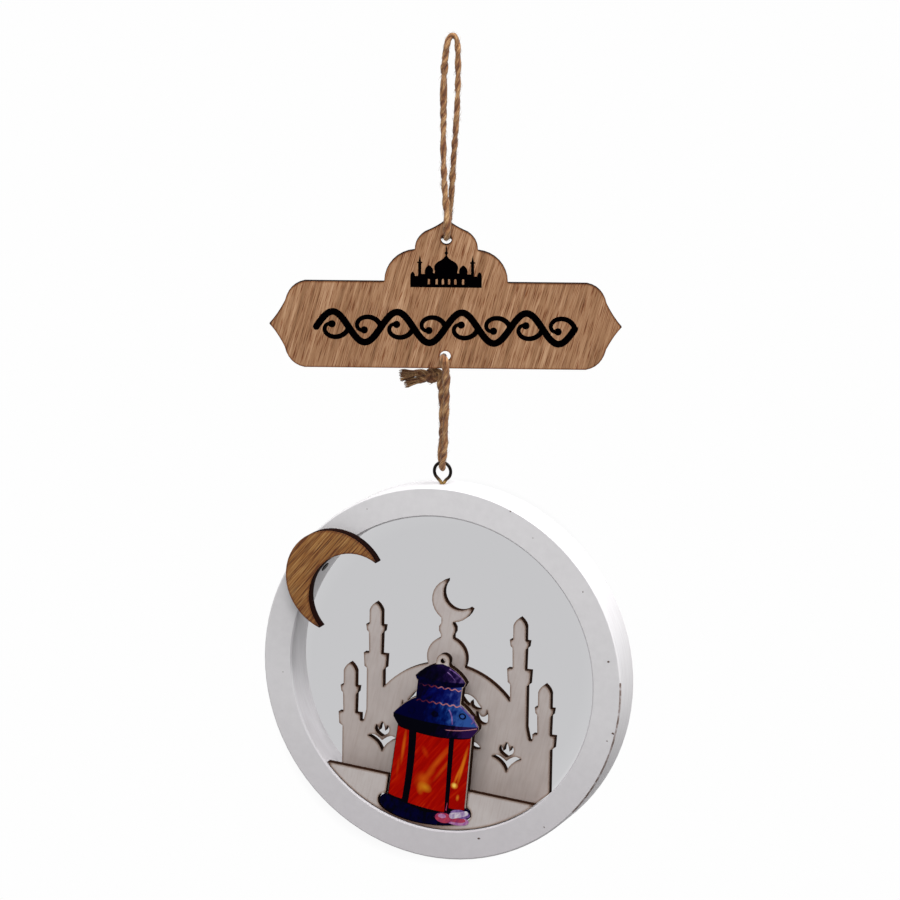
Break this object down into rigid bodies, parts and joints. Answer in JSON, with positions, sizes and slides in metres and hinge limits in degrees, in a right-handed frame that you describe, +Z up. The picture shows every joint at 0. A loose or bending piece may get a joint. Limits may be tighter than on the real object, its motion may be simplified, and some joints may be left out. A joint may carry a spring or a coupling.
{
  "type": "hanging ornament",
  "caption": "Hanging ornament: a twine loop carries a cut wooden sign, and under it a round painted frame with a cut-out building, a lantern and a crescent.",
  "frame": {"origin": "the inside top of the twine loop, where a hook carries the ornament", "axes": "+Z up the plumb line; the round frame faces -Y and lies in the X-Z plane; the sign stands turned 20.97 degrees about Z from it"},
  "size_m": [0.15, 0.0516, 0.3261],
  "materials": {
    "jute_twine": "two-ply twisted jute, dry and slightly hairy",
    "sign_plywood": "bare plywood with laser-browned edges and black print",
    "ring_paint": "matt white paint over turned fibreboard",
    "panel_paint": "thin white paint over laser-cut plywood, browned edges",
    "lantern_print": "glossy colour print on laser-cut plywood",
    "crescent_stain": "stained plywood with charred edges",
    "eye_steel": "drawn wire, darkened",
    "glue": "set hot-melt glue"
  },
  "bodies": {
    "hanging_loop": {"upper_twine_loop": "jute_twine", "upper_knot": "jute_twine", "upper_knot_tail_left": "jute_twine", "upper_knot_tail_right": "jute_twine"},
    "sign": {"sign_board": "sign_plywood"},
    "drop": {"lower_twine_loop": "jute_twine", "lower_knot": "jute_twine", "lower_knot_tail_long": "jute_twine", "lower_knot_tail_short": "jute_twine"},
    "medallion": {"screw_eye": "eye_steel", "ring_frame": "ring_paint", "ground_plate": "panel_paint", "mosque_panel": "panel_paint", "lantern_plate": "lantern_print", "crescent": "crescent_stain", "crescent_glue_bead": "glue"}
  },
  "joints": [
    {"name": "sign_swing", "type": "hinge", "parent": "hanging_loop", "child": "sign", "pos_m": [0.00014, 0.00005, -0.0773], "axis": [-0.3579, 0.9338, 0], "range_deg": [-40, 40]},
    {"name": "drop_swing", "type": "hinge", "parent": "sign", "child": "drop", "pos_m": [0.00036, 0.00014, -0.1232], "axis": [-0.3579, 0.9338, 0], "range_deg": [-40, 40]},
    {"name": "medallion_twist", "type": "hinge", "parent": "drop", "child": "medallion", "pos_m": [0, 0, -0.169], "axis": [0, 0, 1], "range_deg": [-90, 90], "deforming": ["lower_twine_loop"]}
  ]
}
